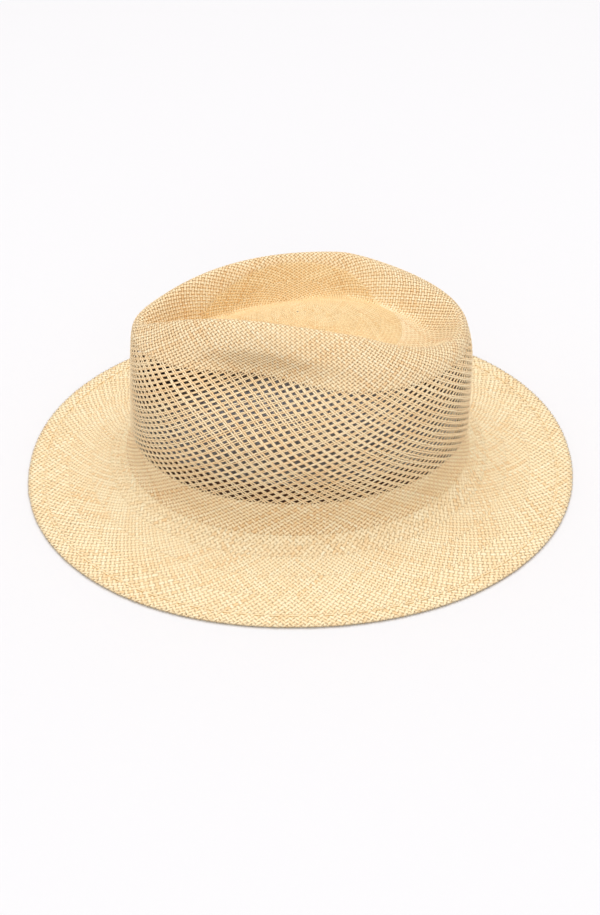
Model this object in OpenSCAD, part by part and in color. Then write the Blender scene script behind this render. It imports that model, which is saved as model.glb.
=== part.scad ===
// Panama hat: a teardrop crown with an openwork band, and a wide round brim with a turned hem.
// +Z is up and the pinched front points to -X. The hem rests on z = 0, and the origin is under
// the middle of the brim.

/* [Brim] */
// Half of the brim's length, front to back
brim_half_length = 158; // [150:1:166]
// Half of the brim's width, side to side
brim_half_width = 141; // [135:1:150]
// Width of the hem turned under along the edge
hem_width = 9; // [6:0.5:12]
// Height of the fold between brim and crown above the floor
fold_height = 17; // [13:1:22]

/* [Crown] */
// Half of the crown's length at the fold
crown_half_length = 99; // [96:1:103]
// Half of the crown's width at the fold
crown_half_width = 86; // [83:1:90]
// Height of the crest's highest part above the fold
crown_height = 101; // [95:1:108]
// Thickness of the woven straw
straw = 1; // [0.8:0.1:1.2]

/* [Sweatband] */
// Thickness of the sweatband
band_thickness = 0.9; // [0.6:0.1:1.2]
// Gap between the sweatband and the straw
band_gap = 0.3; // [0.3:0.1:0.6]
// Diameter of the reed along the sweatband's lower edge
reed_diameter = 1.4; // [1:0.1:1.6]
// Diameter of the sewing thread
thread = 0.6; // [0.4:0.1:0.7]

/* [Hidden] */

segments = 72;          // facets around the hat
oval_power = 2.1;       // 2 is a true ellipse, more is boxier
nose_power = 1.3;       // how soon the crown narrows towards the front
dent_place = -0.28;     // where the front pinch is deepest, as the cosine of the ring angle
dent_spread = 0.36;     // how far the pinch spreads along the ring
dent_drop = 0.2;        // how far the pinch pushes the straw down, as a share of how far it pushes in
hem_start = 0.85;       // share of the brim that lies inside the hem
hem_stitch_count = 110;
band_stitch_count = 72;
tiny = 0.02;

// The crown's rings from the fold up over the crest and down to the middle of the tip.
// Front, back and half width are shares of the crown's half length and half width, and middle is
// where the ring is widest. Heights, as shares of crown_height, are at the front, at a third and
// two thirds of the way round each side, and at the back. Taper narrows the ring towards the
// front, and dent is the depth of the front pinch in millimetres.
// front, back, half width, middle, 4 heights, taper, dent
rings = [
    [1.015, 0.990, 1.000, 0.00,  0.000, 0.000, 0.000, 0.000,  0.00, 0.0],    // fold
    [0.985, 0.980, 0.975, 0.00,  0.060, 0.060, 0.060, 0.060,  0.00, 0.0],    // foot of the wall
    [0.975, 0.980, 0.970, 0.00,  0.195, 0.195, 0.195, 0.195,  0.00, 0.0],    // openwork starts
    [0.960, 0.983, 0.955, 0.01,  0.440, 0.440, 0.440, 0.440,  0.00, 0.0],
    [0.945, 0.980, 0.880, 0.02,  0.640, 0.620, 0.620, 0.630,  0.03, 4.0],    // shoulder
    [0.930, 0.960, 0.765, 0.08,  0.770, 0.795, 0.760, 0.735,  0.18, 20.0],    // openwork ends
    [0.910, 0.940, 0.655, 0.18,  0.815, 0.920, 0.845, 0.785,  0.34, 8.0],
    [0.870, 0.905, 0.490, 0.28,  0.835, 1.020, 0.875, 0.800,  0.45, 1.0],    // crest
    [0.800, 0.840, 0.400, 0.28,  0.780, 0.910, 0.820, 0.750,  0.50, 0.0],
    [0.690, 0.740, 0.330, 0.26,  0.700, 0.800, 0.740, 0.690,  0.40, 0.0],    // moat
    [0.470, 0.620, 0.250, 0.18,  0.760, 0.810, 0.790, 0.740,  0.25, 0.0],
    [0.220, 0.350, 0.130, 0.10,  0.850, 0.860, 0.855, 0.840,  0.10, 0.0],    // dome
    [0.000, 0.000, 0.000, 0.045, 0.875, 0.875, 0.875, 0.875,  0.00, 0.0]];   // middle of the tip
last_ring = len(rings) - 1;
openwork_start = 2;
openwork_end = 5;
tip_start = 8;

// One coordinate of a unit oval, from the cosine or sine of the angle
function oval(v) = sign(v) * pow(abs(v), 2 / oval_power);

// The row of ring values at a place between the rings, by a smooth spline through them
function row(i) = i < 0 ? 2 * rings[0] - rings[1]
    : i > last_ring ? 2 * rings[last_ring] - rings[last_ring - 1] : rings[i];
function spline(a, b, c, d, u) = 0.5 * (2 * b + (c - a) * u + (2 * a - 5 * b + 4 * c - d) * u * u
    + (3 * b - a - 3 * c + d) * u * u * u);
function ring_values(t) = let (i = min(floor(t), last_ring - 1))
    spline(row(i - 1), row(i), row(i + 1), row(i + 2), t - i);

// Height share at cosine c: a cubic through the front, fore, aft and back heights
function height(v, c) = (v[5] * (c - 0.5) - v[6] * (c + 0.5)) * (c * c - 1) / 0.75
    + (v[7] * (c + 1) - v[4] * (c - 1)) * (c * c - 0.25) / 1.5;

// A point of the crown's middle surface on ring t at angle a
function crown_point(t, a) = let (v = ring_values(t), c = cos(a), s = sin(a),
    middle = v[3] * crown_half_length, nose = 1 - v[8] * pow(max(0, -c), nose_power),
    reach = c < 0 ? v[0] * crown_half_length + middle : v[1] * crown_half_length - middle,
    dent = v[9] * exp(-pow((c - dent_place) / dent_spread, 2)) * min(1, 1.5 * abs(s)))
    [middle + reach * oval(c), v[2] * crown_half_width * oval(s) * nose - sign(s) * dent,
    fold_height + crown_height * height(v, c) - dent_drop * dent];

// How far the brim has dropped at share u of its width: a tight bend at the fold, then flatter
function brim_drop(u) = let (v = min(u / hem_start, 1)) 0.35 * (1 - exp(-9 * v)) + 0.65 * sin(90 * v);
function edge_point(a, inset) = [(brim_half_length - inset) * oval(cos(a)),
    (brim_half_width - inset) * oval(sin(a)), 1.5 * straw];
function brim_point(u, a) = let (p = crown_point(0, a), e = edge_point(a, 0), q = p + (e - p) * u)
    [q[0], q[1], p[2] + (e[2] - p[2]) * min(1, brim_drop(u))];

// The hat's middle surface: t below 0 is the brim, out to its edge at -1
function hat_point(t, a) = t < 0 ? brim_point(-t, a) : crown_point(t, a);
function unit(v) = v / norm(v);
function hat_normal(t, a) = t > last_ring - tiny ? [0, 0, 1]
    : unit(cross(hat_point(t, a + 1) - hat_point(t, a - 1),
    hat_point(t + tiny, a) - hat_point(max(t - tiny, -1), a)));
function flat_normal(t, a) = t < -hem_start ? [0, 0, 1] : hat_normal(t, a);

// A ring of points at place t, lifted off the middle surface
function hat_ring(t, lift) = [for (k = [0:segments - 1]) let (a = 360 * k / segments)
    hat_point(t, a) + lift * flat_normal(t, a)];

// A closed solid through a loop of rings: its section is a closed outline
module ring_solid(loops) {
    n = len(loops[0]);
    m = len(loops);
    points = [for (loop = loops) each loop];
    polyhedron(points, [for (i = [0:m - 1], k = [0:n - 1]) let (j = (i + 1) % m, l = (k + 1) % n)
        each [[i * n + k, j * n + k, j * n + l], [i * n + k, j * n + l, i * n + l]]]);
}

// A closed solid through rings, with a flat cap at each end
module capped_solid(loops) {
    n = len(loops[0]);
    m = len(loops);
    points = [for (loop = loops) each loop];
    sides = [for (i = [0:m - 2], k = [0:n - 1]) let (j = i + 1, l = (k + 1) % n)
        each [[i * n + k, j * n + k, j * n + l], [i * n + k, j * n + l, i * n + l]]];
    polyhedron(points, concat([[for (k = [0:n - 1]) k]], sides,
        [[for (k = [n - 1:-1:0]) (m - 1) * n + k]]));
}

// A skin of the hat through the places in ts, between two lifts
module skin(ts, low, high) {
    count = len(ts);
    ring_solid(concat([for (t = ts) hat_ring(t, high)],
        [for (k = [count - 1:-1:0]) hat_ring(ts[k], low)]));
}

function steps(from, to, count) = [for (k = [0:count]) from + (to - from) * k / count];
function oval_outline(inset) = [for (k = [0:segments - 1])
    let (p = edge_point(360 * k / segments, inset)) [p[0], p[1]]];

// Places one stitch along the ring at t and angle a, clear of the surface by lift
module stitch(t, a, lift, length) {
    along = unit(hat_point(t, a + 1) - hat_point(t, a - 1));
    translate(hat_point(t, a) + lift * flat_normal(t, a) - along * length / 2)
        rotate([0, 90, atan2(along[1], along[0])])
            cylinder(h = length, d = thread, $fn = 16);
}

band_outer = -straw / 2 - band_gap;
band_inner = band_outer - band_thickness;
band_low = 0.25;
band_high = 2.5;

// Rounded woven centre of the crown, with its moat
module crown_tip() {
    ts = steps(tip_start, last_ring - 0.1, 8);
    color("wheat") capped_solid(concat(
        [for (k = [8:-1:0]) hat_ring(ts[k], straw / 2)],
        [for (t = ts) hat_ring(t, -straw / 2)]));
}

// Closely woven crest and upper wall
module crown_upper() {
    color("burlywood") skin(steps(openwork_end, tip_start, 6), -straw / 2, straw / 2);
}

// Band of open weave
module crown_openwork() {
    color("tan") skin(steps(openwork_start, openwork_end, 6), -straw / 2, straw / 2);
}

// Closely woven foot of the wall
module crown_base() {
    color("burlywood") skin([0, 0.25, 0.5, 1, 1.5, 2], -straw / 2, straw / 2);
}

// Brim, from its edge to the fold
module brim() {
    color("wheat") skin([-1, -hem_start, -0.65, -0.4, -0.2, -0.1, -0.04, 0], -straw / 2, straw / 2);
}

// Straw turned under along the edge, which the hat rests on
module brim_hem() {
    color("wheat") linear_extrude(straw) difference() {
        polygon(oval_outline(0));
        polygon(oval_outline(hem_width));
    }
}

// Running stitches that hold the hem
module hem_stitches() {
    color("moccasin") for (k = [0:hem_stitch_count - 1])
        stitch(-hem_start - tiny, 360 * k / hem_stitch_count, (straw + thread) / 2, 4.5);
}

// Sweatband, which lines the foot of the wall
module sweatband() {
    color("saddlebrown") skin([band_low, 0.5, 1, 1.5, 2, band_high], band_inner, band_outer);
}

// Reed along the sweatband's lower edge
module sweatband_reed() {
    centre = (band_outer + band_inner) / 2;
    drop = reed_diameter / 2 + 0.3;
    color("peru") ring_solid([for (b = [0:45:315])
        [for (p = hat_ring(band_low, centre)) let (out = unit([p[0], p[1], 0]))
            p + reed_diameter / 2 * (cos(b) * out + [0, 0, sin(b)]) - [0, 0, drop]]]);
}

// Stitches through the sweatband's lower edge
module sweatband_stitches() {
    color("moccasin") for (k = [1:band_stitch_count - 1])
        stitch(0.5, 360 * k / band_stitch_count, band_inner - thread / 2 - 0.15, 4);
}

// Tape that backs the joint of the sweatband, at the back
module sweatband_seam() {
    color("sienna") translate([seam_x, -seam_width / 2, seam_z])
        cube([tape, seam_width, seam_height]);
}
tape = 0.6;
seam_width = 10;
seam_height = 24;
seam_z = fold_height + 7;
seam_x = crown_half_length * 0.98 - straw / 2 - band_gap - band_thickness - tape - 0.9;

// One ribbon loop of the bow, seen from the front as a drop
module bow_loop() {
    function drop(w, h, x0) = [for (k = [0:15:345])
        [x0 + w * (1 - cos(k)) / 2, h * sin(k) * (1 - cos(k)) / 2]];
    linear_extrude(1.6) difference() {
        polygon(drop(9, 3.4, 1));
        polygon(drop(7.4, 2.4, 1.9));
    }
}

// Small ribbon bow sewn over the seam
module sweatband_bow() {
    color("saddlebrown") translate([seam_x - 1, 0, seam_z + 5]) rotate([90, 0, -90]) {
        cylinder(h = 2, d = 3.4, $fn = 32);
        bow_loop();
        mirror([1, 0, 0]) bow_loop();
        for (side = [-1, 1]) rotate(-90 + 32 * side) translate([1, -0.9, 0]) cube([8, 1.8, 0.6]);
    }
}

// Blank size label sewn to the sweatband beside the seam
module size_label() {
    place = 24;
    p = hat_point(1.5, place) + (band_inner - 1) * hat_normal(1.5, place);
    along = hat_point(1.5, place + 1) - hat_point(1.5, place - 1);
    color("ivory") translate(p) rotate([0, 0, atan2(along[1], along[0])])
        translate([-9, 0, -5]) cube([18, 0.4, 11]);
}

crown_tip();
crown_upper();
crown_openwork();
crown_base();
brim();
brim_hem();
hem_stitches();
sweatband();
sweatband_reed();
sweatband_stitches();
sweatband_seam();
sweatband_bow();
size_label();
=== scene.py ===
"""Panama hat: straw strands woven over the CAD shape, with its hem, sweatband and trimmings.

The crown and brim are laid out as sheets, tables of points by distance from the rosette and share
of a full turn. Strands of two families spiral over each sheet in a plain weave.
Metres, +Z up, the pinched front towards -X, as in the frame.
"""
import math
import bpy
import numpy as np
from mathutils import Matrix, Vector


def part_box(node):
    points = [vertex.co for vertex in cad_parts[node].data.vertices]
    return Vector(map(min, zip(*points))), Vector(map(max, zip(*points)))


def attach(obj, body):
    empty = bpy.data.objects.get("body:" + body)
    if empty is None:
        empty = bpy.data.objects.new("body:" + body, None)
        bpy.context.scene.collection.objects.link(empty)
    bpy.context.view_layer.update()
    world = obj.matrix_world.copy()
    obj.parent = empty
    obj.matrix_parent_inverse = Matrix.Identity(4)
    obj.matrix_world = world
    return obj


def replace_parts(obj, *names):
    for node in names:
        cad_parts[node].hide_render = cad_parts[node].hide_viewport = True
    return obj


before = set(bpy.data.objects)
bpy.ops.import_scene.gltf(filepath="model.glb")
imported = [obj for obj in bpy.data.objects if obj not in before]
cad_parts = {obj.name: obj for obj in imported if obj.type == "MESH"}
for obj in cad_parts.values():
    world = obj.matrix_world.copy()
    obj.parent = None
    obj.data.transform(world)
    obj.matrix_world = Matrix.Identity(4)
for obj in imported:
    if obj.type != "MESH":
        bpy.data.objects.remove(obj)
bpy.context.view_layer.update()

MM = 0.001


# ---------------------------------------------------------------- the hat's middle surface
STRAW = 1.0 * MM          # thickness of the woven straw
OVAL_POWER = 2.1          # 2 is a true ellipse, more is boxier
NOSE_POWER = 1.3          # how soon the crown narrows towards the front
DENT_PLACE = -0.28        # where the front pinch is deepest, as the cosine of the ring angle
DENT_SPREAD = 0.36        # how far it spreads along the ring
DENT_DROP = 0.2           # how far the pinch drops, as a share of how far it goes in
DENT_STEEPNESS = 1.5      # how soon the pinch fades towards the hat's middle line
HEM_START = 0.85          # share of the brim that lies inside the hem
FOLD_DROP = 0.35          # share of the brim's drop that comes close to the fold
FOLD_QUICKNESS = 9        # how soon it comes

# The crown's rings from the fold up over the crest and down to the middle of the tip, as in the
# design: front, back, half width, middle, 4 heights from front to back, taper towards the front,
# and depth of the front pinch in millimetres. The others are shares of the crown's own sizes.
RINGS = np.array([
    [1.015, 0.990, 1.000, 0.00, 0.000, 0.000, 0.000, 0.000, 0.00, 0.0],
    [0.985, 0.980, 0.975, 0.00, 0.060, 0.060, 0.060, 0.060, 0.00, 0.0],
    [0.975, 0.980, 0.970, 0.00, 0.195, 0.195, 0.195, 0.195, 0.00, 0.0],
    [0.960, 0.983, 0.955, 0.01, 0.440, 0.440, 0.440, 0.440, 0.00, 0.0],
    [0.945, 0.980, 0.880, 0.02, 0.640, 0.620, 0.620, 0.630, 0.03, 4.0],
    [0.930, 0.960, 0.765, 0.08, 0.770, 0.795, 0.760, 0.735, 0.18, 20.0],
    [0.910, 0.940, 0.655, 0.18, 0.815, 0.920, 0.845, 0.785, 0.34, 8.0],
    [0.870, 0.905, 0.490, 0.28, 0.835, 1.020, 0.875, 0.800, 0.45, 1.0],
    [0.800, 0.840, 0.400, 0.28, 0.780, 0.910, 0.820, 0.750, 0.50, 0.0],
    [0.690, 0.740, 0.330, 0.26, 0.700, 0.800, 0.740, 0.690, 0.40, 0.0],
    [0.470, 0.620, 0.250, 0.18, 0.760, 0.810, 0.790, 0.740, 0.25, 0.0],
    [0.220, 0.350, 0.130, 0.10, 0.850, 0.860, 0.855, 0.840, 0.10, 0.0],
    [0.000, 0.000, 0.000, 0.045, 0.875, 0.875, 0.875, 0.875, 0.00, 0.0]])
LAST_RING = len(RINGS) - 1
OPENWORK_START, OPENWORK_END = 2, 5
INNER_CREST = 7.6         # ring just inside the crest, where the tip's round weave meets the wall's

# Half lengths and half widths, and heights, from the CAD boxes. The skins are how far the faces
# of those boxes stand off the middle surface.
WALL_SKIN = 0.4 * STRAW
FOLD_SKIN = 0.3 * STRAW
DESIGN_CROWN, DESIGN_HEIGHT = 101, 121.1      # the design's crown and whole heights, millimetres
base_low, base_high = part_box("crown_base")
BRIM_LENGTH, BRIM_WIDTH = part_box("brim_hem")[1][:2]
FOLD_HEIGHT = base_low[2] + FOLD_SKIN
CROWN_LENGTH = (base_high[0] - base_low[0] - 2 * WALL_SKIN) / (RINGS[0, 0] + RINGS[0, 1])
CROWN_WIDTH = base_high[1] - WALL_SKIN
CROWN_HEIGHT = DESIGN_CROWN / DESIGN_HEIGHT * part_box("crown_upper")[1][2]
TINY = 1e-12              # keeps a length of nought from being divided by


def oval(v):
    return np.sign(v) * np.abs(v) ** (2 / OVAL_POWER)


def ring_values(t):
    """The rows of ring values at places t, by a smooth spline through the rings."""
    before = 2 * RINGS[0] - RINGS[1]
    # past the middle of the tip the rings come back on the other side
    far_side = np.array([-1, -1, -1, 1, 1, 1, 1, 1, 1, 1])
    after = RINGS[-2] * far_side
    rows = np.vstack([before, RINGS, after])
    i = np.clip(np.floor(t).astype(int), 0, LAST_RING - 1)
    u = (t - i)[..., None]
    a, b, c, d = rows[i], rows[i + 1], rows[i + 2], rows[i + 3]
    return 0.5 * (2 * b + (c - a) * u + (2 * a - 5 * b + 4 * c - d) * u ** 2
                  + (3 * b - a - 3 * c + d) * u ** 3)


def crown_point(t, angle):
    """The middle surface at place t over the rings and an angle round the hat, 0 at the back."""
    ring = np.moveaxis(ring_values(t), -1, 0)
    front, back, width, middle, height_0, height_1, height_2, height_3, taper, depth = ring
    c, s = np.cos(angle), np.sin(angle)
    middle = middle * CROWN_LENGTH
    nose = 1 - taper * np.maximum(0, -c) ** NOSE_POWER
    reach = np.where(c < 0, front * CROWN_LENGTH + middle, back * CROWN_LENGTH - middle)
    dent = depth * MM * np.exp(-((c - DENT_PLACE) / DENT_SPREAD) ** 2)
    dent = dent * np.minimum(1, DENT_STEEPNESS * np.abs(s))
    # the cubic in c that has the four heights at -1, -0.5, 0.5 and 1
    height = ((height_1 * (c - 0.5) - height_2 * (c + 0.5)) * (c * c - 1) / 0.75
              + (height_3 * (c + 1) - height_0 * (c - 1)) * (c * c - 0.25) / 1.5)
    x = middle + reach * oval(c)
    y = width * CROWN_WIDTH * oval(s) * nose - np.sign(s) * dent
    return np.stack([x, y, FOLD_HEIGHT + CROWN_HEIGHT * height - DENT_DROP * dent], -1)


def edge_point(angle):
    """The brim's edge, in the middle of the straw that lies on the hem."""
    return np.stack([BRIM_LENGTH * oval(np.cos(angle)), BRIM_WIDTH * oval(np.sin(angle)),
                     np.full_like(angle, 1.5 * STRAW)], -1)


def brim_drop(u):
    """The share of its drop that the brim has made at u, from 0 at the fold to 1 at the edge."""
    v = np.minimum(u / HEM_START, 1)
    return (FOLD_DROP * (1 - np.exp(-FOLD_QUICKNESS * v))
            + (1 - FOLD_DROP) * np.sin(math.pi / 2 * v))


def brim_point(u, angle):
    """The brim's middle surface at share u of the way from the fold to the edge."""
    fold, edge = crown_point(np.zeros_like(angle), angle), edge_point(angle)
    point = fold + (edge - fold) * u[..., None]
    point[..., 2] = fold[..., 2] + (edge[..., 2] - fold[..., 2]) * np.minimum(1, brim_drop(u))
    return point


# ---------------------------------------------------------------- sheets
TURN_STEPS = 1440         # columns of every sheet
BEARINGS = 720            # directions from the rosette in the table of the tip's heights
RADII = 240               # distances from the rosette in that table
TIP_STEPS = 160           # rings of the tip's sheet
ROUND_REACH = 42 * MM     # the tip's innermost rings are rounds on this scale
TWIST = -0.033            # the openwork's strands lean this share of a turn by its lower edge
HEM_WIDTH = 9 * MM
HEM_RADIUS = 0.6 * MM     # of the bend round the brim's edge


def even_ring(place, t):
    """The ring at t as points at even distances, the first at the back of the hat."""
    fine = np.linspace(0, 2 * math.pi, 2 * TURN_STEPS + 1)
    p = place(np.full_like(fine, t), fine)
    run = np.concatenate([[0], np.cumsum(np.linalg.norm(np.diff(p, axis=0), axis=1))])
    angle = np.interp(np.arange(TURN_STEPS) / TURN_STEPS, run / run[-1], fine)
    return place(np.full_like(angle, t), angle)


class Sheet:
    """A table of surface points: rows run away from the rosette, columns round the hat.

    twist is the share of a turn by which the weave has turned at the sheet's start and at its end.
    """

    def __init__(self, raw, rows=500, twist=(0.0, 0.0)):
        self.twist = twist
        run = np.concatenate([np.zeros((1, raw.shape[1])),
                              np.cumsum(np.linalg.norm(np.diff(raw, axis=0), axis=2), axis=0)])
        self.length = run[-1].mean()
        share = np.linspace(0, 1, rows)
        self.points = np.empty((rows, raw.shape[1], 3))
        for j in range(raw.shape[1]):
            for axis in range(3):
                self.points[:, j, axis] = np.interp(share, run[:, j] / run[-1, j], raw[:, j, axis])
        down = np.gradient(self.points, axis=0)
        across = np.roll(self.points, -2, axis=1) - np.roll(self.points, 2, axis=1)
        normal = np.cross(down, across)
        self.normals = normal / np.maximum(np.linalg.norm(normal, axis=2, keepdims=True), TINY)

    def sample(self, table, s, turn):
        """Values between the entries of a table, at shares s down it and turn round the hat."""
        rows, columns = table.shape[:2]
        y = np.clip(s, 0, 1) * (rows - 1)
        x = (turn % 1.0) * columns
        i = np.minimum(y.astype(int), rows - 2)
        j = np.floor(x).astype(int) % columns
        k = (j + 1) % columns
        fy, fx = (y - i)[..., None], (x - np.floor(x))[..., None]
        return ((table[i, j] * (1 - fx) + table[i, k] * fx) * (1 - fy)
                + (table[i + 1, j] * (1 - fx) + table[i + 1, k] * fx) * fy)

    def at(self, s, turn):
        """Points and normals on the sheet."""
        turn = turn + self.twist[0] + (self.twist[1] - self.twist[0]) * s
        n = self.sample(self.normals, s, turn)
        return self.sample(self.points, s, turn), n / np.linalg.norm(n, axis=-1, keepdims=True)

    def round_length(self, s):
        """The way round the hat at share s."""
        p = self.points[int(round(s * (len(self.points) - 1)))]
        return np.linalg.norm(np.roll(p, -1, axis=0) - p, axis=1).sum()


def ring_sheet(place, start, end, steps):
    """Rings of points of a surface, from one place to another."""
    return np.array([even_ring(place, t) for t in np.linspace(start, end, steps)])


def top_sheet():
    """From the rosette to the openwork: round rings in the middle, the crest's shape further out."""
    rosette = crown_point(np.array([float(LAST_RING)]), np.zeros(1))[0]
    dense = np.linspace(0, 2 * math.pi, BEARINGS + 1)[:-1]
    places = np.linspace(INNER_CREST, LAST_RING - 0.001, TIP_STEPS)
    rings = crown_point(places[:, None] + np.zeros(BEARINGS), dense + np.zeros((TIP_STEPS, 1)))
    rings = rings - rosette
    # how far each ring reaches in every direction from the rosette, and how high it is there
    bearing = np.linspace(-math.pi, math.pi, BEARINGS + 1)
    reach, lift = np.empty((2, TIP_STEPS, BEARINGS + 1))
    for i, ring in enumerate(rings):
        psi, rho = np.arctan2(ring[:, 1], ring[:, 0]), np.hypot(ring[:, 0], ring[:, 1])
        order = np.argsort(psi)
        reach[i] = np.interp(bearing, psi[order], rho[order], period=2 * math.pi)
        lift[i] = np.interp(bearing, psi[order], ring[order, 2], period=2 * math.pi)
    share = np.linspace(0, 1, RADII)
    heights = np.array([np.interp(share * reach[0, k], reach[::-1, k], lift[::-1, k])
                        for k in range(BEARINGS + 1)])
    # the sheet's rings, which turn from rounds into the crest's shape
    rim = even_ring(crown_point, INNER_CREST) - rosette
    rim_reach = np.hypot(rim[:, 0], rim[:, 1])
    rim_bearing = np.unwrap(np.arctan2(rim[:, 1], rim[:, 0]))
    even_bearing = 2 * math.pi * np.arange(TURN_STEPS) / TURN_STEPS
    q = np.linspace(0.01, 1, TIP_STEPS)[:, None]
    blend = q * q * (3 - 2 * q)
    rho = q * ((1 - blend) * ROUND_REACH + blend * rim_reach)
    psi = (1 - blend) * even_bearing + blend * rim_bearing
    # their heights, read from the table
    wrapped = (psi + math.pi) % (2 * math.pi) - math.pi
    column = (wrapped + math.pi) / (2 * math.pi) * BEARINGS
    j = np.minimum(column.astype(int), BEARINGS - 1)
    f = column - j
    limit = reach[0, j] * (1 - f) + reach[0, j + 1] * f
    row = np.clip(rho / limit, 0, 1) * (RADII - 1)
    i = np.minimum(row.astype(int), RADII - 2)
    g = row - i
    z = ((heights[j, i] * (1 - g) + heights[j, i + 1] * g) * (1 - f)
         + (heights[j + 1, i] * (1 - g) + heights[j + 1, i + 1] * g) * f)
    inner = np.stack([rho * np.cos(psi), rho * np.sin(psi), z], -1) + rosette
    outer = ring_sheet(crown_point, INNER_CREST, OPENWORK_END, 120)
    return Sheet(np.concatenate([inner, outer[1:]]), 900)


def hem_sheet():
    """The straw folded round the brim's edge and turned under it, seen as the way along it."""
    # pairs of inset and height: round the edge from above, then in along the underside
    bend = np.linspace(math.radians(70), math.radians(-90), 9)
    way = [(HEM_RADIUS * (1 - math.cos(b)), STRAW + HEM_RADIUS * math.sin(b)) for b in bend]
    way += [(inset, STRAW - HEM_RADIUS) for inset in np.linspace(HEM_RADIUS, HEM_WIDTH, 8)[1:]]

    def place(t, angle):
        inset, height = (np.interp(t, np.arange(len(way)), [w[k] for w in way]) for k in (0, 1))
        point = edge_point(angle)
        point[..., 0] *= 1 - inset / BRIM_LENGTH
        point[..., 1] *= 1 - inset / BRIM_WIDTH
        point[..., 2] = height
        return point
    return Sheet(ring_sheet(place, 0, len(way) - 1, 3 * len(way)), 120, (TWIST, TWIST))


TOP = top_sheet()
OPENWORK = Sheet(ring_sheet(crown_point, OPENWORK_END, OPENWORK_START, 200), twist=(0, TWIST))
BASE = Sheet(ring_sheet(crown_point, OPENWORK_START, 0, 100), 200, (TWIST, TWIST))
BRIM = Sheet(ring_sheet(brim_point, 0, 1, 240), twist=(TWIST, TWIST))
HEM = hem_sheet()


# ---------------------------------------------------------------- strands
rng = np.random.default_rng(57)
SIDES = 4                 # corners of a strand's section
OUTLINE = np.array([[-1, 0], [0, 1], [1, 0], [0, -1]])      # those corners, across and up
WIDTH_SPREAD = 0.05       # how much the strands differ in width
FAMILY_SHADE_TONE = 0.06        # painted light and shade: how far each family's tone is from the middle, one lighter and one darker, as light falls differently on strands running each way
STRAND_TONE = 0.17        # how much the strands differ in tone
ALONG_TONE = 0.06         # and how much the tone changes along a strand
TUCK_DEPTH = 2.2          # how deep a tucked end goes, in lifts
LOOSE_FROM = 0.2          # share of a strand's length where it starts to loosen
LOOSE_OVER = 0.3          # and over which it does


def add_mesh(name, verts, blocks, attribute=None, inner=None):
    """A smooth mesh object from arrays of points and a list of arrays of faces.

    attribute is each point's strand data, and inner is 1 where a point is on the inner side, which
    the straw material darkens as painted shade.
    """
    mesh = bpy.data.meshes.new(name)
    sizes = np.concatenate([np.full(len(b), b.shape[1]) for b in blocks])
    loops = np.concatenate([b.ravel() for b in blocks]).astype(np.int32)
    mesh.vertices.add(len(verts))
    mesh.vertices.foreach_set("co", np.asarray(verts, np.float32).ravel())
    mesh.loops.add(len(loops))
    mesh.loops.foreach_set("vertex_index", loops)
    mesh.polygons.add(len(sizes))
    starts = np.concatenate([[0], np.cumsum(sizes)[:-1]])
    mesh.polygons.foreach_set("loop_start", starts.astype(np.int32))
    mesh.polygons.foreach_set("use_smooth", np.full(len(sizes), True))
    if attribute is not None:
        layer = mesh.attributes.new("strand", "FLOAT_VECTOR", "POINT")
        layer.data.foreach_set("vector", np.asarray(attribute, np.float32).ravel())
    if inner is not None:
        layer = mesh.attributes.new("inner", "FLOAT", "POINT")
        layer.data.foreach_set("value", np.asarray(inner, np.float32))
    mesh.update(calc_edges=True)
    mesh.validate()
    piece = bpy.data.objects.new(name, mesh)
    bpy.context.collection.objects.link(piece)
    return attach(piece, "root")


def tube_faces(strands, steps, sides):
    """Quads of the tubes, and the caps at their ends."""
    base = (np.arange(strands) * steps * sides)[:, None, None]
    k, side = np.arange(steps - 1)[None, :, None] * sides, np.arange(sides)[None, None, :]
    after = (side + 1) % sides
    start = base + k
    quads = np.stack([start + side, start + after, start + sides + after, start + sides + side], -1)
    first = base[:, 0] + np.arange(sides)[::-1]
    last = base[:, 0] + (steps - 1) * sides + np.arange(sides)
    return [quads.reshape(-1, 4), np.concatenate([first, last])]


def smooth_noise(count, steps, spacing):
    """Random values along each strand, smooth over about this many steps."""
    knots = int(steps / spacing) + 3
    values = rng.standard_normal((count, knots))
    x = np.arange(steps) / spacing
    i = x.astype(int)
    f = x - i
    f = f * f * (3 - 2 * f)
    return values[:, i] * (1 - f) + values[:, i + 1] * f


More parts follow.
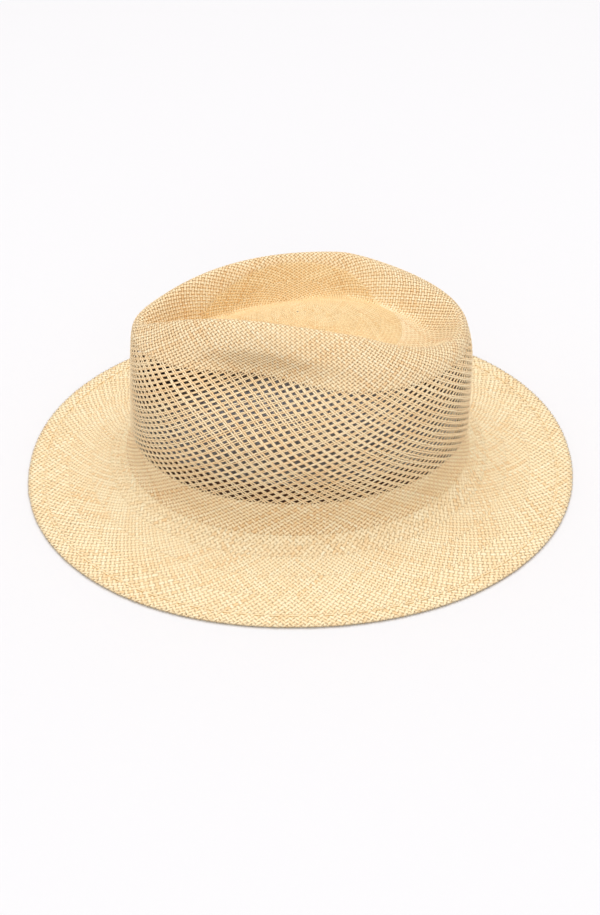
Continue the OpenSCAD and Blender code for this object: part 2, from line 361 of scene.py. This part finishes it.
def weave(sheet, start, end, rows, count, width, thick=0.30 * MM, lift=0.11 * MM,
          pairing=None, jitter=0.03, tuck=False, loosen=(1, 1), families=(1, -1)):
    """Families of strands over part of a sheet, as points, quads, end caps and strand data.

    Row by row the strands of one family pass a half column forwards, and those of the other a half
    column back. Where they cross, the first family is on top in even rows and below in odd ones.
    pairing(turn, share) is how far strands are drawn together in pairs, which opens holes.
    tuck puts the strands' starts under the stretch of weave before.
    loosen is what the strands' width and lift have been multiplied by from halfway down.
    """
    all_verts, all_quads, all_caps, all_data, offset = [], [], [], [], 0
    wander = {f: jitter * smooth_noise(count, rows + 1, 5) for f in (1, -1)}

    def shift(family, index, row):
        amount = 0
        if pairing is not None:
            amount = pairing((index + family * row / 2) / count, row / rows)
        return np.where(index % 2 == 0, amount, -amount) + wander[family][index, row]

    for family in families:
        index = np.arange(count)[:, None]
        row = np.arange(rows + 1)[None, :] + np.zeros_like(index)
        other = (index + family * row) % count
        mine, theirs = shift(family, index, row), shift(-family, other, row)
        column = index + family * row / 2 + (mine + theirs) / 2
        level = row + family * (theirs - mine)
        height = family * lift * np.where(row % 2 == 0, 1.0, -1.0)
        # halfway points between the crossings
        steps = 2 * rows + 1
        columns, levels, heights = (np.empty((count, steps)) for _ in range(3))
        for fine, coarse in ((columns, column), (levels, level), (heights, height)):
            fine[:, ::2] = coarse
            fine[:, 1::2] = (coarse[:, 1:] + coarse[:, :-1]) / 2
        levels[:, 0], levels[:, -1] = 0, rows
        ease = np.clip((np.linspace(0, 1, steps) - LOOSE_FROM) / LOOSE_OVER, 0, 1)
        heights *= 1 + (loosen[1] - 1) * ease
        if tuck:
            heights[:, 0] = -TUCK_DEPTH * lift
            heights[:, 1] *= 0.3
            levels[:, 0] = -0.5
        place, normal = sheet.at(start + (end - start) * levels / rows, columns / count)
        place = place + normal * heights[..., None]
        along = np.gradient(place, axis=1)
        along /= np.maximum(np.linalg.norm(along, axis=2, keepdims=True), TINY)
        side = np.cross(normal, along)
        side /= np.maximum(np.linalg.norm(side, axis=2, keepdims=True), TINY)
        up = np.cross(along, side)
        strand_width = width * (1 + WIDTH_SPREAD * rng.standard_normal((count, 1)))
        half = (strand_width / 2 * (1 + (loosen[0] - 1) * ease))[..., None, None]
        verts = (place[:, :, None] + side[:, :, None] * OUTLINE[:, :1] * half
                 + up[:, :, None] * OUTLINE[:, 1:] * (thick / 2))
        pace = np.linalg.norm(np.diff(place, axis=1), axis=2)
        run = np.concatenate([np.zeros((count, 1)), np.cumsum(pace, axis=1)], axis=1)
        # painted light and shade by strand direction: one family lighter, the other darker, which
        # shows the rows as rings
        tone = 0.5 - FAMILY_SHADE_TONE * family + STRAND_TONE * rng.standard_normal((count, 1))
        tone = tone + ALONG_TONE * smooth_noise(count, steps, 9)
        # strand data: tone, the way along the strand from a random start, and the place across it
        data = np.empty(verts.shape)
        data[..., 0] = tone[..., None]
        data[..., 1] = (run + rng.uniform(0, 1, (count, 1)))[..., None]
        data[..., 2] = OUTLINE[:, 0]
        quads, caps = tube_faces(count, steps, SIDES)
        all_verts.append(verts.reshape(-1, 3))
        all_data.append(data.reshape(-1, 3))
        all_quads.append(quads + offset)
        all_caps.append(caps + offset)
        offset += count * steps * SIDES
    return [np.concatenate(part) for part in (all_verts, all_quads, all_caps, all_data)]


def woven(name, parts, cad_node, material, shade_inside=False):
    """One piece from several stretches of weave, standing for a CAD node."""
    verts, quads, caps, data, offset = [], [], [], [], 0
    for v, q, c, d in parts:
        verts.append(v)
        quads.append(q + offset)
        caps.append(c + offset)
        data.append(d)
        offset += len(v)
    # the strands' lower faces, on the crown's inner side, are marked for painted shade
    inner = np.tile(OUTLINE[:, 1] < 0, offset // SIDES) if shade_inside else None
    piece = add_mesh(name, np.concatenate(verts), [np.concatenate(quads), np.concatenate(caps)],
                     attribute=np.concatenate(data), inner=inner)
    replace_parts(piece, cad_node)
    piece.data.materials.append(material)


# ---------------------------------------------------------------- materials
def srgb(r, g, b):
    """A screen colour of 0 to 255 as the linear colour that shaders take."""
    def linear(v):
        v /= 255
        return v / 12.92 if v <= 0.04045 else ((v + 0.055) / 1.055) ** 2.4
    return (linear(r), linear(g), linear(b), 1.0)


def new_material(name):
    """A material with its node tree and its shader."""
    material = bpy.data.materials.new(name)
    material.use_nodes = True
    tree = material.node_tree
    return material, tree, tree.nodes["Principled BSDF"]


def node(tree, kind, **values):
    """A node with values for its inputs, or for its own settings."""
    made = tree.nodes.new(kind)
    for key, value in values.items():
        if key in made.inputs:
            made.inputs[key].default_value = value
        else:
            setattr(made, key, value)
    return made


def ramp(tree, factor, stops):
    """A colour that changes with factor, by stops of place and colour."""
    made = tree.nodes.new("ShaderNodeValToRGB")
    points = made.color_ramp.elements
    while len(points) < len(stops):
        points.new(0.5)
    for point, (place, colour) in zip(points, stops):
        point.position, point.color = place, colour
    tree.links.new(factor, made.inputs[0])
    return made.outputs["Color"]


def maths(tree, operation, a, b=0.0):
    made = node(tree, "ShaderNodeMath", operation=operation)
    for socket, value in zip(made.inputs, (a, b)):
        if isinstance(value, (int, float)):
            socket.default_value = value
        else:
            tree.links.new(value, socket)
    return made.outputs[0]


def mixed(tree, blend, factor, a, b):
    made = node(tree, "ShaderNodeMix", data_type="RGBA", blend_type=blend)
    for socket, value in ((made.inputs[0], factor), (made.inputs[6], a), (made.inputs[7], b)):
        if isinstance(value, (int, float, tuple)):
            socket.default_value = value
        else:
            tree.links.new(value, socket)
    return made.outputs[2]


FIBRE_STRETCH = (60.0, 2.5, 40.0)      # along and across a strand, and from strand to strand
FIBRE_TONE, PATCH_TONE = 0.5, 0.35     # how much fibres and wide patches change the tone
FIBRE_RELIEF = 0.06 * MM
STRAW_ROUGHNESS = 0.42


def straw_material(name, light, middle, dark, edge_shade_share):
    """Split palm straw: each strand its own tone, with fibres, painted shade at its edges where
    strands meet, and painted shade on the crown's inner side.
    """
    material, tree, shader = new_material(name)
    strand = node(tree, "ShaderNodeAttribute", attribute_name="strand")
    split = node(tree, "ShaderNodeSeparateXYZ")
    tree.links.new(strand.outputs["Vector"], split.inputs[0])
    tone, along, across = split.outputs
    fibre_place = node(tree, "ShaderNodeCombineXYZ")
    for socket, value, stretch in zip(fibre_place.inputs, (along, across, tone), FIBRE_STRETCH):
        tree.links.new(maths(tree, "MULTIPLY", value, stretch), socket)
    fibre = node(tree, "ShaderNodeTexNoise", Scale=1.6, Detail=3.0, Roughness=0.6)
    tree.links.new(fibre_place.outputs[0], fibre.inputs["Vector"])
    patch = node(tree, "ShaderNodeTexNoise", Scale=28.0, Detail=2.0)
    place = node(tree, "ShaderNodeTexCoord")
    tree.links.new(place.outputs["Object"], patch.inputs["Vector"])
    shade = tone
    for noise, amount in ((fibre, FIBRE_TONE), (patch, PATCH_TONE)):
        swing = maths(tree, "SUBTRACT", noise.outputs[0], 0.5)
        shade = maths(tree, "ADD", shade, maths(tree, "MULTIPLY", swing, amount))
    colour = ramp(tree, shade, [(0.0, light), (0.5, middle), (1.0, dark)])
    # painted shade: each strand darkens towards its edges, standing in for the shade where strands
    # meet
    edge = maths(tree, "POWER", maths(tree, "ABSOLUTE", across), 2.0)
    colour = mixed(tree, "MULTIPLY", maths(tree, "MULTIPLY", edge, edge_shade_share), colour, EDGE_SHADE_TINT)
    # painted shade: the crown's inner side is darkened, standing in for the dim inside of the hat
    inner = node(tree, "ShaderNodeAttribute", attribute_name="inner")
    colour = mixed(tree, "MULTIPLY", inner.outputs["Fac"], colour, INSIDE_SHADE_TINT)
    tree.links.new(colour, shader.inputs["Base Color"])
    roughness = maths(tree, "ADD", STRAW_ROUGHNESS, maths(tree, "MULTIPLY", fibre.outputs[0], 0.2))
    tree.links.new(roughness, shader.inputs["Roughness"])
    shader.inputs["Specular IOR Level"].default_value = 0.35
    bump = node(tree, "ShaderNodeBump", Strength=0.35, Distance=FIBRE_RELIEF)
    tree.links.new(fibre.outputs[0], bump.inputs["Height"])
    tree.links.new(bump.outputs[0], shader.inputs["Normal"])
    return material


def plain_material(name, colour, second, roughness, scale, relief, stretch=(1, 1, 1)):
    """Leather, thread and ribbon: two close colours in a noise, and a fine bump."""
    material, tree, shader = new_material(name)
    place = node(tree, "ShaderNodeTexCoord")
    mapping = node(tree, "ShaderNodeMapping")
    mapping.inputs["Scale"].default_value = stretch
    tree.links.new(place.outputs["Object"], mapping.inputs[0])
    grain = node(tree, "ShaderNodeTexNoise", Scale=scale, Detail=4.0)
    tree.links.new(mapping.outputs[0], grain.inputs["Vector"])
    tone = ramp(tree, grain.outputs[0], [(0.35, colour), (0.65, second)])
    tree.links.new(tone, shader.inputs["Base Color"])
    shader.inputs["Roughness"].default_value = roughness
    bump = node(tree, "ShaderNodeBump", Strength=0.5, Distance=relief)
    tree.links.new(grain.outputs[0], bump.inputs["Height"])
    tree.links.new(bump.outputs[0], shader.inputs["Normal"])
    return material


# painted shade at the strands' edges, where neighbouring strands meet
EDGE_SHADE_TINT = srgb(226, 180, 126)
# painted shade for the inside of the crown; the straw is the same on both sides
INSIDE_SHADE_TINT = srgb(80, 66, 54)
STRAW_TONES = srgb(255, 243, 211), srgb(253, 234, 195), srgb(244, 213, 165)
# painted shade: the tip's straw is a darker, warmer copy of the wall's straw, to darken the tip as
# shade
TIP_SHADE_TONES = srgb(253, 232, 190), srgb(248, 221, 172), srgb(236, 199, 143)
LEATHER_TONES = srgb(84, 52, 32), srgb(70, 42, 26)
COTTON_TONES = srgb(236, 218, 176), srgb(214, 190, 145)
HEM_COTTON_TONES = srgb(253, 238, 203), srgb(246, 222, 178)
RIBBON_TONES = srgb(62, 40, 28), srgb(48, 30, 20)
TAPE_TONES = srgb(70, 46, 32), srgb(52, 33, 22)
LABEL_TONES = srgb(238, 234, 222), srgb(224, 218, 202)
SOFT_EDGE_SHADE, STRONG_EDGE_SHADE = 0.25, 0.7     # how much painted shade a strand's edges take, where strands meet
GRAIN, THREAD_GRAIN, CLOTH_GRAIN = 900, 1500, 2500
LEATHER_RELIEF, CLOTH_RELIEF = 0.2 * MM, 0.1 * MM

# fine straw and straw are one straw with less and more painted shade at the strand edges
soft_shade_straw = straw_material("fine straw", *STRAW_TONES, SOFT_EDGE_SHADE)
straw = straw_material("straw", *STRAW_TONES, STRONG_EDGE_SHADE)
# the tip's straw: the same straw with painted shade in its tones
tip_shaded_straw = straw_material("tip straw", *TIP_SHADE_TONES, SOFT_EDGE_SHADE)
leather = plain_material("sweatband leather", *LEATHER_TONES, 0.45, GRAIN, LEATHER_RELIEF)
cotton = plain_material("cotton thread", *COTTON_TONES, 0.7, THREAD_GRAIN, CLOTH_RELIEF)
hem_cotton = plain_material("hem thread", *HEM_COTTON_TONES, 0.7, THREAD_GRAIN, CLOTH_RELIEF)
ribbon = plain_material("ribbon", *RIBBON_TONES, 0.4, CLOTH_GRAIN, CLOTH_RELIEF, (1, 1, 8))
tape_cloth = plain_material("seam tape", *TAPE_TONES, 0.75, CLOTH_GRAIN, CLOTH_RELIEF, (1, 1, 6))
label_cloth = plain_material("label cloth", *LABEL_TONES, 0.8, CLOTH_GRAIN, CLOTH_RELIEF)


# ---------------------------------------------------------------- the woven body
COLUMNS = 164             # strands of each family over the crown's wall
PAIR_SHIFT = 0.235        # how far a paired strand moves, in columns
SLACK = 0.13              # how much the pairing changes over the openwork
OPEN_ROWS = 66
OPEN_FILL = {1: 0.60, -1: 0.49}        # how much of its spacing a strand of each family fills
BASE_ROWS = 16
CLOSENESS = 1.1           # how much closer the rows lie than strands at 45 degrees would have them
HEM_COLUMNS = 400


def zone(sheet, start, end, count, fill=1.1, **more):
    """A stretch of close weave whose strands run at a little under 45 degrees.

    fill is how much of its spacing a strand fills.
    """
    length = (end - start) * sheet.length
    pitch = sheet.round_length((start + end) / 2) / count
    more.setdefault("rows", max(2, 2 * int(round(CLOSENESS * length / pitch))))
    slope = math.atan2(length / more["rows"], pitch / 2)
    return weave(sheet, start, end, count=count, width=fill * pitch * math.sin(slope), **more)


def zones(sheet, bounds):
    """Rings of weave, which gain strands outwards; bounds are where each ends and its strands."""
    return [zone(sheet, start, end, count, tuck=start > bounds[0][0])
            for (start, _), (end, count) in zip(bounds[:-1], bounds[1:])]


def openwork_pairing(turn, share):
    """How far strands are drawn into pairs: none at the band's edges, all of it one row in.

    Slow waves in it over the band make the holes larger and smaller.
    """
    waves = [(3, 1.5, 0.4), (7, -2.5, 1.9), (12, 4.0, 3.1), (17, -6.0, 5.2), (23, 8.0, 0.9)]
    total = sum(np.sin(2 * math.pi * (round_count * turn + down_count * share) + phase)
                for round_count, down_count, phase in waves)
    amount = PAIR_SHIFT * np.clip(np.minimum(share, 1 - share) * OPEN_ROWS, 0, 1)
    return amount * (1 + SLACK * total)


def openwork(family):
    """One family of strands of the openwork band."""
    pitch = OPENWORK.round_length(0.5) / COLUMNS
    slope = math.atan2(OPENWORK.length / OPEN_ROWS, pitch / 2)
    width = OPEN_FILL[family] * pitch * math.sin(slope)
    return weave(OPENWORK, 0, 1, OPEN_ROWS, COLUMNS, width, thick=0.42 * MM, lift=0.2 * MM,
                 pairing=openwork_pairing, jitter=0.05, families=(family,))


# where each ring of weave ends, as a share of its sheet, and how many strands it has
TIP_ZONES = [(0.002, 0), (0.015, 8), (0.045, 14), (0.085, 26), (0.14, 44), (0.22, 66), (0.32, 90),
             (0.44, 116), (0.56, 142)]
BRIM_ZONES = [(0.0, 0), (0.09, 164), (0.2, 200), (0.4, 232), (0.62, 240), (HEM_START, 246),
              (1.0, 250)]

woven("crown_tip_weave", zones(TOP, TIP_ZONES), "crown_tip", tip_shaded_straw, shade_inside=True)

upper = zone(TOP, TIP_ZONES[-1][0], 1.0, COLUMNS, fill=1.04, lift=0.14 * MM, tuck=True,
             loosen=(0.88, 1.75))
woven("crown_upper_weave", [upper], "crown_upper", straw, shade_inside=True)

# both families start from one random state, so that each passes the other where it really is
openwork_wander = rng.bit_generator.state
for label, family in (("right", 1), ("left", -1)):
    rng.bit_generator.state = openwork_wander
    woven(f"openwork_{label}_strands", [openwork(family)], "crown_openwork", straw,
          shade_inside=True)

base = zone(BASE, 0, 1, COLUMNS, fill=1.0, lift=0.2 * MM, rows=BASE_ROWS)
woven("crown_base_weave", [base], "crown_base", straw, shade_inside=True)

brim_rings = zones(BRIM, BRIM_ZONES)
woven("brim_inner_weave", brim_rings[:3], "brim", soft_shade_straw)
woven("brim_outer_weave", brim_rings[3:5], "brim", soft_shade_straw)
woven("brim_edge_weave", brim_rings[5:], "brim", soft_shade_straw)

hem = zone(HEM, 0, 1, HEM_COLUMNS, fill=1.0, thick=0.2 * MM, lift=0.06 * MM)
hem_points = hem[0]
hem_points[:, 2] = np.maximum(hem_points[:, 2], 0.02 * MM)      # it rests flat on the floor
woven("hem_weave", [hem], "brim_hem", soft_shade_straw)


# ---------------------------------------------------------------- inside the crown
BAND_GAP = 0.3 * MM                  # between the sweatband and the straw
BAND_THICKNESS = 0.9 * MM
BAND_OUTER = -STRAW / 2 - BAND_GAP   # the band's faces, from the straw's middle surface
BAND_INNER = BAND_OUTER - BAND_THICKNESS
BAND_LOW, BAND_HIGH = 0.25, 2.5      # places on the crown's rings
BAND_SEAM_PLACE = 0.5                # where the band is sewn to the straw
BAND_STEPS = 480                     # steps round the hat
REED_RADIUS = 0.7 * MM
REED_GAP = 0.3 * MM
TAPE_WIDTH, TAPE_THICKNESS = 10 * MM, 0.4 * MM
LABEL_WIDTH, LABEL_THICKNESS = 18 * MM, 0.25 * MM
LABEL_TURN = math.radians(24)
LABEL_CURL = 0.5 * MM
PATCH_LIFT = 0.2 * MM                # how far tape and label stand off the band
RIBBON_THICKNESS = 0.3 * MM


def lifted(t, angle, lift):
    """Points off the crown's middle surface, along its outward normal."""
    t, angle, lift = np.broadcast_arrays(t, angle, lift)
    step = 0.001          # in ring places and radians
    across = crown_point(t, angle + step) - crown_point(t, angle - step)
    up = crown_point(t + step, angle) - crown_point(t - step, angle)
    normal = np.cross(across, up)
    normal /= np.linalg.norm(normal, axis=-1, keepdims=True)
    return crown_point(t, angle) + lift[..., None] * normal


def outward(verts, quads, caps=None):
    """The faces of a solid as a list of arrays, turned over if they face into it."""
    a, b, c, d = (verts[quads[:, k]] for k in range(4))
    volume = (a * np.cross(b, c)).sum() + (a * np.cross(c, d)).sum()
    blocks = [quads] if caps is None else [quads, caps]
    return blocks if volume > 0 else [block[:, ::-1] for block in blocks]


def trimming(name, verts, blocks, cad_node, material):
    """A piece that stands for one CAD node inside the crown."""
    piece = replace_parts(add_mesh(name, verts, blocks), cad_node)
    piece.data.materials.append(material)


def ring_faces(loops, columns):
    """Quads of a surface that closes both round the hat and round its own section."""
    i, k = np.arange(loops)[:, None] * columns, np.arange(columns)[None, :]
    after, beside = (i + columns) % (loops * columns), (k + 1) % columns
    return np.stack([i + k, after + k, after + beside, i + beside], -1).reshape(-1, 4)


def add_sweatband():
    """A leather band with soft waves, rounded edges and a groove where it is sewn."""
    angle = np.linspace(0, 2 * math.pi, BAND_STEPS + 1)[:-1]
    inner = np.linspace(BAND_LOW, BAND_HIGH, 30)[:, None]
    outer = np.linspace(BAND_HIGH, BAND_LOW, 12)[:, None]
    low_edge, high_edge = np.array([[BAND_LOW - 0.02]]), np.array([[BAND_HIGH + 0.015]])
    middle = (BAND_OUTER + BAND_INNER) / 2
    # the height of the waves and the depth of the groove in millimetres
    wave = 0.10 * np.sin(7 * angle + 3 * inner) + 0.06 * np.sin(19 * angle - 5 * inner)
    groove = 0.22 * np.exp(-((inner - BAND_SEAM_PLACE) / 0.05) ** 2)
    rings = np.concatenate([lifted(low_edge, angle, middle),
                            lifted(inner, angle, BAND_INNER + (wave + groove) * MM),
                            lifted(high_edge, angle, middle),
                            lifted(outer, angle, BAND_OUTER)])
    verts, quads = rings.reshape(-1, 3), ring_faces(len(rings), BAND_STEPS)
    blocks = outward(verts, quads)
    trimming("sweatband_leather", verts, blocks, "sweatband", leather)


def add_reed():
    """The reed in its leather cover, along the sweatband's lower edge."""
    angle = np.linspace(0, 2 * math.pi, BAND_STEPS + 1)[:-1]
    line = lifted(BAND_LOW, angle, (BAND_OUTER + BAND_INNER) / 2) - [0, 0, REED_RADIUS + REED_GAP]
    out = line * [1, 1, 0] / np.linalg.norm(line[:, :2], axis=1, keepdims=True)
    bend = np.linspace(0, 2 * math.pi, 13)[:-1, None, None]
    rings = line + REED_RADIUS * (np.cos(bend) * out + np.sin(bend) * np.array([0, 0, 1]))
    verts, quads = rings.reshape(-1, 3), ring_faces(len(rings), BAND_STEPS)
    trimming("reed_cover", verts, outward(verts, quads), "sweatband_reed", leather)


def add_patch(name, cad_node, material, turn, width, thick, curl):
    """A piece of cloth that lies on the sweatband at a turn round the hat, as high as its CAD node.

    curl is how far its upper and lower edges stand off the band.
    """
    low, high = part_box(cad_node)[0][2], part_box(cad_node)[1][2]
    places = np.linspace(0, 3, 300)
    heights = crown_point(places, np.full_like(places, turn))[:, 2]
    t = np.interp(np.linspace(low, high, 24), heights, places)[:, None]
    reach = np.hypot(*crown_point(np.array([1.5]), np.array([turn]))[0][:2])
    u = np.linspace(-1, 1, 20)[None, :]
    v = np.linspace(-1, 1, 24)[:, None]
    rounding = 1 - 0.06 * np.abs(v) ** 12
    angle = turn + u * rounding * width / 2 / reach
    ripple = 0.04 * MM * np.sin(9 * u + 4 * v)
    away = BAND_INNER - PATCH_LIFT - curl * np.abs(v) ** 3 * (0.6 + 0.4 * u ** 2) + ripple
    front, back = lifted(t, angle, away - thick), lifted(t, angle, away)
    loops = np.concatenate([front, back[:, ::-1]], axis=1)
    verts = loops.reshape(-1, 3)
    blocks = outward(verts, *tube_faces(1, loops.shape[0], loops.shape[1]))
    trimming(name, verts, blocks, cad_node, material)


def strip(path, across, width):
    """Corner points of a ribbon that follows a path."""
    along = np.gradient(path, axis=0)
    up = np.cross(along, across)
    up /= np.linalg.norm(up, axis=1, keepdims=True)
    up = up * RIBBON_THICKNESS / 2
    width = np.broadcast_to(width, len(path))[:, None]
    side = np.array(across) * width / 2
    return np.stack([path - side - up, path + side - up, path + side + up, path - side + up],
                    axis=1)


def add_bow():
    """Two loops, a knot and two tails of narrow ribbon, flat against the band."""
    low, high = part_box("sweatband_bow")
    knot = np.array([(low[0] + high[0]) / 2, 0, high[2] - 2.2 * MM])
    loop_reach = (high[1] - low[1]) / 2 * 0.93
    toward_band = (1.0, 0.0, 0.0)
    parts = []
    for side in (-1, 1):
        bend = np.linspace(0.12, 2 * math.pi - 0.12, 49)
        out = (1 - np.cos(bend)) / 2
        swell = np.sin(bend) * (1 - np.cos(bend)) / 2
        loop = knot + np.stack([0.15 * MM * np.sin(2 * bend), side * loop_reach * out,
                                2.9 * MM * swell], -1)
        parts.append(strip(loop, toward_band, 1.0 * MM + 0.5 * MM * out))
        drop = np.linspace(0, 1, 20)[:, None]
        tail = knot + drop * [0, side * 4.6 * MM, -7.6 * MM]
        tail = tail + np.sin(5 * drop) * [0.15 * MM, 0, 0]
        parts.append(strip(tail, np.array([0, 0.86, side * 0.5]), 1.7 * MM))
    knot_size = np.array([0.95, 1.6, 1.9]) * MM
    turn = np.linspace(0, 2 * math.pi, 17)[:-1]
    knot_rings = []
    for b in np.linspace(-1.5, 1.5, 13):
        wide = math.cos(b) ** 0.5
        ring = np.stack([np.full_like(turn, math.sin(b)), wide * np.cos(turn),
                         wide * np.sin(turn)], -1)
        knot_rings.append(knot + ring * knot_size)
    parts.append(np.array(knot_rings))
    verts, blocks, offset = [], [], 0
    for loops in parts:
        points = loops.reshape(-1, 3)
        faces = tube_faces(1, loops.shape[0], loops.shape[1])
        blocks += [block + offset for block in outward(points - points.mean(axis=0), *faces)]
        verts.append(points)
        offset += len(points)
    trimming("bow_ribbon", np.concatenate(verts), blocks, "sweatband_bow", ribbon)


add_sweatband()
add_reed()
add_patch("seam_tape", "sweatband_seam", tape_cloth, 0.0, TAPE_WIDTH,
          TAPE_THICKNESS, 0.0)
add_patch("blank_label", "size_label", label_cloth, LABEL_TURN, LABEL_WIDTH,
          LABEL_THICKNESS, LABEL_CURL)
add_bow()


# ---------------------------------------------------------------- the CAD's own stitches
for name, material in (("hem_stitches", hem_cotton), ("sweatband_stitches", cotton)):
    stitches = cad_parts[name].data
    stitches.materials.clear()
    stitches.materials.append(material)


# ---------------------------------------------------------------- floor, light, camera
CAMERA_ELEVATION = math.radians(38)
CAMERA_ROLL = 0.0172      # in radians: the hat leans this much to one side in the view
CAMERA_DISTANCE = 1.05
CAMERA_TARGET = (0, 0, 0.0036)
LENS_PER_WIDTH = 2.9867   # focal length over image width
SENSOR_WIDTH = 36         # in millimetres
LIGHT_TARGET = (0, 0, 0.05)
FLOOR_HALF = 6.0
FLOOR_COLOUR = (0.8, 0.82, 0.88, 1)
SKY_COLOUR = (1.0, 0.935, 0.85, 1)
SKY_STRENGTH = 0.70


def add_floor():
    mesh = bpy.data.meshes.new("floor")
    corners = [(x * FLOOR_HALF, y * FLOOR_HALF, 0) for x, y in ((-1, -1), (1, -1), (1, 1), (-1, 1))]
    mesh.from_pydata(corners, [], [(0, 1, 2, 3)])
    floor = bpy.data.objects.new("floor", mesh)
    bpy.context.collection.objects.link(floor)
    material, _, shader = new_material("floor")
    shader.inputs["Base Color"].default_value = FLOOR_COLOUR
    shader.inputs["Roughness"].default_value = 0.9
    mesh.materials.append(material)


def add_area(name, place, size, power):
    """A square lamp that faces the crown, with its power in watts."""
    light = bpy.data.lights.new(name, "AREA")
    light.size, light.energy = size, power
    lamp = bpy.data.objects.new(name, light)
    lamp.location = place
    ahead = Vector(LIGHT_TARGET) - Vector(place)
    lamp.rotation_euler = ahead.to_track_quat("-Z", "Y").to_euler()
    bpy.context.collection.objects.link(lamp)


def add_camera():
    look = bpy.data.cameras.new("camera")
    look.sensor_fit = "HORIZONTAL"
    look.sensor_width = SENSOR_WIDTH
    look.lens = LENS_PER_WIDTH * SENSOR_WIDTH
    camera = bpy.data.objects.new("camera", look)
    tilt, lean = CAMERA_ELEVATION, CAMERA_ROLL
    ahead = Vector((0, math.cos(tilt), -math.sin(tilt)))
    above = Vector((0, math.sin(tilt), math.cos(tilt)))
    level = Vector((1, 0, 0))
    up = above * math.cos(lean) + level * math.sin(lean)
    right = level * math.cos(lean) - above * math.sin(lean)
    matrix = Matrix((right, up, -ahead)).transposed().to_4x4()
    matrix.translation = Vector(CAMERA_TARGET) - ahead * CAMERA_DISTANCE
    camera.matrix_world = matrix
    bpy.context.collection.objects.link(camera)
    bpy.context.scene.camera = camera


add_floor()
add_area("overhead", (0.0, 0.2, 3.0), size=2.5, power=56)
add_area("front", (0.0, -2.4, 1.0), size=1.6, power=6)
world = bpy.data.worlds.new("studio")
world.use_nodes = True
sky = world.node_tree.nodes["Background"]
sky.inputs["Color"].default_value = SKY_COLOUR
sky.inputs["Strength"].default_value = SKY_STRENGTH
bpy.context.scene.world = world
bpy.context.scene.view_settings.view_transform = "Standard"
add_camera()
